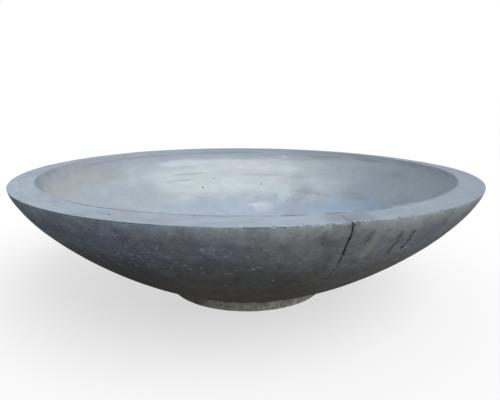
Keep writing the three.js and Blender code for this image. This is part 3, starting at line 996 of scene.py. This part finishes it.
def joint_line(g, colour):
    """The dark joint in the rim: plain in the front, smeared over elsewhere."""
    shown = g.window(g.azimuth, -38, 6, 3)
    shown += g.window(g.azimuth, 8, 40, 3) * g.ramp(g.noise(19, 2), 0.45, 0.54)
    line = g.ramp(g.mark("seam"), 0.12, 0.6) * g.ramp(g.noise(9, 3), 0.25, 0.5) * shown
    pieces = sum(g.window(g.azimuth, low, high, 0.6) for low, high in JOINT_PIECES)
    pieces *= g.band(g.radius + (g.noise(9, 2) - 0.5) * 5, SEAM_RADIUS / MM - 1, 6)
    return g.coats(colour, (g.math("MINIMUM", line, 1) * 0.82, JOINT_COLOUR),
                   (pieces * 0.55, g.scale(JOINT_COLOUR, 0.8)))


def broken_edge(g, colour, over):
    """Dirt and painted shade in a dark line under the rim's corner, and fresh grey where it is
    chipped. Over is how many mm past the corner it is."""
    # A dark line just under the rim's corner: dirt, and painted shade under the corner.
    under = g.window(g.azimuth, 0, 7, 1) + g.window(g.azimuth, -42, -13, 2) * 0.6
    under += g.ramp(g.noise(24, 2), 0.56, 0.66) * 0.7
    under *= g.band(over + (g.noise(4) - 0.5) * 2, -1.5, 1.5)
    grit = g.noise(3.4, 2)
    broken = g.ramp(g.mark("broken") * (grit + 0.5), 0.15, 0.5)
    fresh = g.mix(g.ramp(grit, 0.42, 0.55), g.scale(BROKEN_PASTE, 0.35), BROKEN_PASTE)
    return g.coats(colour, (g.math("MINIMUM", under, 1) * 0.75, DIRT_AND_SHADE), (broken * 0.7, fresh))


def holes_and_crack(g, colour):
    """The air holes, painted lit on the lower side of some and painted in shade elsewhere, the
    crack, and the damp and dirt beside it.
    """
    grit = g.noise(3.2, 2)
    # Painted light and shade in the air holes: a pale lower side in some, a dark copy of the
    # paste in the rest.
    lit = g.ramp(g.mark("pit"), 0.9, 0.6) * g.ramp(g.noise(12, 2), 0.36, 0.62)
    hole = g.mix(lit, g.scale(FRESH_PASTE, 0.3), g.scale(FRESH_PASTE, grit + 0.6))
    halo = g.ramp(g.mark("halo"), 0, 1) * g.ramp(g.noise(9), 0.35, 0.6)
    notch = g.patch(g.azimuth, (17.1, 267, 11, 6))
    damp = g.area((13.5, 20, 2), (236, 268, 10)) + g.area((-9, 5, 4), (240, 250, 7)) * 0.5
    return g.coats(colour, (g.ramp(g.mark("pit"), 0.15, 0.5), hole),
                   (halo * 0.35 + notch * 0.3 + damp * 0.2, DIRT_AND_SHADE),
                   (g.ramp(g.mark("crack"), 0.12, 0.75) * 0.95, DIRT_AND_SHADE))


def cast_concrete():
    """The shell: dark weathered flank, pale rim, air holes, chips and the crack."""
    g = Graph("cast_concrete")
    flank = flank_flecks(g, flank_streaks(g, flank_colour(g)))
    over = (g.mark("rim") - 0.5) * (2 * CORNER_REACH / MM)
    ragged = (g.noise(7, 3, 0.6) - 0.5) * (2.5 + g.window(g.azimuth, 4, 38, 3) * 8)
    on_rim = g.ramp(over + ragged, -0.7, 0.7)
    colour = joint_line(g, g.mix(on_rim, flank, rim_colour(g)))
    colour = holes_and_crack(g, broken_edge(g, colour, over))
    height = (g.noise(2.6, 3, 0.65) * 0.5 + g.noise(11, 3, 0.6) * 0.5
              + g.drawn(9, 2, 6) * 0.35)
    roughness = 0.92 - on_rim * 0.16 - g.noise(30) * 0.1
    return g.finish(colour, roughness, height, 0.55, 0.16 + on_rim * 0.19)


# ---- Trowelled concrete ----

# Painted light: the paler middle of the back wall.
INSIDE_LIT = (0.550, 0.607, 0.632)
# Painted light: a bluish sky tint, low on the right wall.
INSIDE_SKY = (0.98, 1.06, 1.15)  # a tint
INSIDE_SMEAR = (0.600, 0.672, 0.725)
INSIDE_PLAIN = (0.418, 0.478, 0.526)
INSIDE_LEFT = (0.378, 0.438, 0.490)
INSIDE_BEIGE = (0.378, 0.402, 0.410)
# Painted shade: the darker right wall, also used for drag marks.
INSIDE_RIGHT_SHADE = (0.312, 0.372, 0.436)
INSIDE_BLUE = (0.385, 0.460, 0.555)
# Painted shade just under the lip.
INSIDE_LIP_SHADE = (0.320, 0.355, 0.405)
INSIDE_WARM = (0.470, 0.515, 0.510)
INSIDE_SHADE = (0.230, 0.270, 0.310)

# Marks inside: azimuth from the back in degrees, height, width and length in mm.
WARM_PATCHES = ((-26, 200, 190, 22), (27, 226, 90, 16), (24, 178, 90, 30))
SMEARS = ((-9.6, 181, 44, 22), (5, 124, 50, 9), (16, 250, 20, 6), (18.8, 216, 75, 20),
          (-28, 236, 160, 16), (20.5, 154, 37, 46), (10.9, 122, 54, 22))
SHADE_PATCHES = ((-27, 205, 110, 6), (8.6, 198, 150, 7), (25.6, 196, 56, 14),
                 (35, 160, 110, 10), (30.3, 157, 49, 48), (-34.3, 190, 107, 5),
                 (36, 250, 120, 14), (70, 236, 70, 16), (88, 190, 90, 30),
                 (60, 170, 110, 16))
# Painted shade on the wall just inside the lip, darkest at the far left, with dark strokes
# along it.
LIP_SHADE_AND_STROKES = ((-109, 264, 110, 26), (-94, 267, 90, 10), (-65, 261, 150, 7),
               (-46, 262, 150, 7), (-26, 263, 190, 6), (-6, 262, 170, 6),
               (34, 256, 130, 7), (52, 258, 90, 8))
SPECKS = ((7.2, 173, 5, 3), (-23.1, 169, 7, 3.5), (-16.2, 190, 6, 3))
INSIDE_MARKS = ((WARM_PATCHES, 0.4, INSIDE_WARM), (SMEARS, 0.5, INSIDE_SMEAR),
                (SHADE_PATCHES, 0.3, INSIDE_SHADE), (LIP_SHADE_AND_STROKES, 0.5, INSIDE_SHADE),
                (SPECKS, 0.7, DIRT_AND_SHADE))


def trowelled_concrete():
    """The lining: pale, trowelled round the bowl in long strokes, with damp patches, and with
    painted light and shade: a lit paler middle on the back wall, a shaded right wall and a
    shaded band under the lip.
    """
    g = Graph("trowelled_concrete")
    soft = g.drawn(210, 1, 2.5, 0.4) - 0.5
    strokes = g.drawn(120, 2, 6) - 0.5
    fine = g.drawn(34, 3, 6) - 0.5
    where = g.behind + soft * 60
    level = g.z + strokes * 44
    # Painted light: the back wall's middle, at mid height, paler.
    middle = g.window(where, -24, 12, 36) * g.window(level, 172, 226, 44)
    beige = g.ramp(where, -35, -64) * g.ramp(level, 200, 238)
    # Painted shade: the right wall darker.
    colour = g.coats(INSIDE_PLAIN, (middle * 0.9, INSIDE_LIT),
                     (g.ramp(where, -34, -75) * 0.9, INSIDE_LEFT), (beige * 0.85, INSIDE_BEIGE),
                     (g.ramp(where, 16, 74) * 0.95, INSIDE_RIGHT_SHADE),
                     (g.ramp(level, 165, 116) * 0.8, INSIDE_BLUE),
                     (g.ramp(g.y, -0.12, -0.3), INSIDE_PLAIN))
    # Painted light: a bluish sky tint, low on the right wall.
    sky = g.ramp(level, 190, 150) * g.window(where, 36, 88, 16)
    dim = g.window(where, -66, -26, 16) * g.window(g.z, 224, 262, 16)
    dim += g.window(where, -16, 16, 12) * g.window(g.z, 246, 264, 8)
    # Painted shade: a darker band just under the lip, but not at the far right.
    high = g.ramp(g.z + strokes * 34, 236, 258) * g.ramp(g.x, 0.42, 0.3)
    colour = g.coats(g.mix(sky, colour, INSIDE_SKY, "MULTIPLY"), (dim * 0.3, INSIDE_SHADE),
                     (high * 0.7, INSIDE_LIP_SHADE))
    clouds = g.drawn(44, 4, 2.5, 0.55) - 0.5
    colour = g.scale(colour, 1 + soft * 0.2 + strokes * 0.2 + clouds * 0.22 + fine * 0.14
                     + (g.noise(4, 3, 0.6) - 0.5) * 0.07)
    drags = g.ramp(g.drawn(60, 2, 9, distortion=0.4), 0.56, 0.68)
    drags *= 0.14 + g.ramp(g.z, 225, 245) * 0.36
    colour = g.mix(drags, colour, INSIDE_RIGHT_SHADE)
    for spots, strength, tone in INSIDE_MARKS:
        for spot in spots:
            colour = g.mix(g.patch(g.behind, spot, 0.7) * strength, colour, tone)
    on_rim = g.ramp(g.mark("rim") + fine * 0.3, 0.35, 0.8)
    colour = joint_line(g, g.mix(on_rim, colour, rim_colour(g)))
    height = g.drawn(14, 3, 5, 0.6) * 0.6 + g.noise(3, 2) * 0.25 + strokes * 0.5
    return g.finish(colour, 0.74 - fine * 0.16, height, 0.5)


# ---- Foot, mortar, pipe and steel ----

FOOT_TONES = (0.230, 0.222, 0.205), (0.430, 0.420, 0.395)
# Painted shade along the foot's top, under the joint.
FOOT_JOINT_SHADE = (0.070, 0.068, 0.062)
MORTAR_TONES = (0.045, 0.042, 0.038), (0.135, 0.128, 0.115)
PIPE_GREY = (0.155, 0.160, 0.168)
MILL_SCALE = (0.110, 0.105, 0.105)
RUST_TONES = (0.16, 0.055, 0.022), (0.34, 0.135, 0.05)


def foot_concrete():
    """The foot: warm grey, rougher than the bowl, with painted light on its front middle and
    painted shade along its top under the joint.
    """
    g = Graph("foot_concrete")
    colour = g.mix(g.ramp(g.noise(14, 4, 0.65), 0.3, 0.7), *FOOT_TONES)
    # Painted light: the foot's front middle lighter, its sides darker.
    middle = g.window(g.x, -0.04, 0.11, 0.08)
    colour = g.scale(colour, 0.62 + middle * 1.05 + (g.noise(3, 2) - 0.5) * 0.5)
    # Painted shade: a dark band along the foot's top, under the joint.
    darkening = g.ramp(g.z + (g.noise(12) - 0.5) * 7, 16, 19.5)
    holes = g.spots(7, 0.2)
    colour = g.coats(colour, (darkening * 0.7, FOOT_JOINT_SHADE), (holes * 0.6, DIRT_AND_SHADE))
    return g.finish(colour, 0.92, g.noise(4, 4, 0.7) - holes * 0.4, 0.9)


def mortar():
    """Bedding mortar: sandy, and dark with damp under the bowl."""
    g = Graph("mortar")
    colour = g.scale(g.mix(g.noise(9, 3), *MORTAR_TONES), 0.7 + g.noise(2, 2) * 0.6)
    return g.finish(colour, 0.95, g.noise(2.2, 3, 0.7), 0.8)


def pipe_plastic():
    """Grey drain pipe, scuffed, with cement splashes."""
    g = Graph("pipe_plastic")
    splash = g.ramp(g.noise(8, 3, 0.6), 0.58, 0.66)
    plain = g.scale(PIPE_GREY, 0.85 + g.noise(20, 2) * 0.3)
    return g.finish(g.mix(splash * 0.8, plain, INSIDE_PLAIN), 0.38 + splash * 0.5,
                    splash + g.noise(3, 2) * 0.15, 0.25)


def rusty_steel():
    """Reinforcing bar: mill scale with rust and cement on it."""
    g = Graph("rusty_steel")
    rust = g.ramp(g.noise(12, 4, 0.65), 0.38, 0.62)
    cement = g.ramp(g.noise(26, 3), 0.6, 0.7)
    colour = g.coats(g.scale(MILL_SCALE, 0.7 + g.noise(5, 2) * 0.6),
                     (rust, g.mix(g.noise(4, 3), *RUST_TONES)),
                     (cement * 0.8, FLANK_SHADE_LADDER[-1][1]))
    return g.finish(colour, 0.5 + rust * 0.38, g.noise(3, 4, 0.7) + rust * 0.5, 0.3,
                    metallic=(1 - rust) * (1 - cement) * 0.8)


# ---- Assembly ----

build_shell(cast_concrete())
build_lining(trowelled_concrete())
build_foot(foot_concrete())
build_mortar(mortar())
build_drain(pipe_plastic())
steel = rusty_steel()
for name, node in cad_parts.items():
    if name in HOOPS or name.startswith("radial_bar"):
        node.data.materials.clear()
        node.data.materials.append(steel)

# ---- Floor, light and camera ----

FLOOR_HALF = 60.0
GROUND_COLOUR = (0.42, 0.42, 0.42)
GROUND_GLOW = 0.62  # makes the unshaded floor white for the camera
WHITE = (1, 1, 1)
WORLD_LIGHT = 0.5
SUN_STRENGTH = 1.8
SUN_SOFTNESS = math.radians(50)
SUN_AZIMUTH = math.radians(40)  # from the front, towards +X
SUN_HEIGHT = math.radians(47)
CAMERA_PLACE = (0.0015, -1.05, 0.423)
CAMERA_DOWN = math.radians(12.15)
CAMERA_TURN = math.radians(-0.316)
SENSOR_WIDTH = 36.0
FOCAL_PIXELS = 452
IMAGE_WIDTH = 500


def seen_directly(nodes):
    """1 for rays that come from the camera, a reflection or glass, else 0."""
    total = path = nodes.made("LightPath", {}, "Is Camera Ray")
    for label in ("Is Glossy Ray", "Is Transmission Ray"):
        total = nodes.math("MAXIMUM", total, nodes.beside(path, label))
    return total


def make_floor():
    """A wide pale floor that turns white where no shadow falls."""
    mesh = bpy.data.meshes.new("floor")
    corners = ((-1, -1), (1, -1), (1, 1), (-1, 1))
    mesh.from_pydata([(x * FLOOR_HALF, y * FLOOR_HALF, 0) for x, y in corners], [],
                     [(0, 1, 2, 3)])
    material = bpy.data.materials.new("floor")
    material.use_nodes = True
    nodes = Nodes(material.node_tree)
    shader = nodes.tree.nodes["Principled BSDF"]
    for label, value in (("Base Color", GROUND_COLOUR), ("Roughness", 1.0),
                         ("Specular IOR Level", 0.0), ("Emission Color", WHITE),
                         ("Emission Strength", seen_directly(nodes) * GROUND_GLOW)):
        nodes.feed(shader.inputs[label], value)
    mesh.materials.append(material)
    floor = add_object("floor", mesh)


def make_world():
    """Even light from all sides, seen as white."""
    world = bpy.data.worlds.new("studio")
    world.use_nodes = True
    nodes = Nodes(world.node_tree)
    background = nodes.tree.nodes["Background"]
    strength = seen_directly(nodes) * (1 - WORLD_LIGHT) + WORLD_LIGHT
    nodes.feed(background.inputs["Color"], WHITE)
    nodes.feed(background.inputs["Strength"], strength)
    bpy.context.scene.world = world


def make_sun():
    """One broad soft lamp, from the front right."""
    lamp = bpy.data.lights.new("key", "SUN")
    lamp.energy = SUN_STRENGTH
    lamp.angle = SUN_SOFTNESS
    add_object("key", lamp).rotation_euler = (math.pi / 2 - SUN_HEIGHT, 0, SUN_AZIMUTH)


def make_camera():
    """The photograph's view."""
    data = bpy.data.cameras.new("camera")
    data.sensor_width = SENSOR_WIDTH
    data.lens = SENSOR_WIDTH * FOCAL_PIXELS / IMAGE_WIDTH
    data.clip_start = 0.01
    camera = add_object("camera", data)
    camera.location = CAMERA_PLACE
    camera.rotation_euler = (math.pi / 2 - CAMERA_DOWN, 0, CAMERA_TURN)
    bpy.context.scene.camera = camera


make_floor()
make_world()
make_sun()
make_camera()
bpy.context.scene.view_settings.view_transform = "Standard"
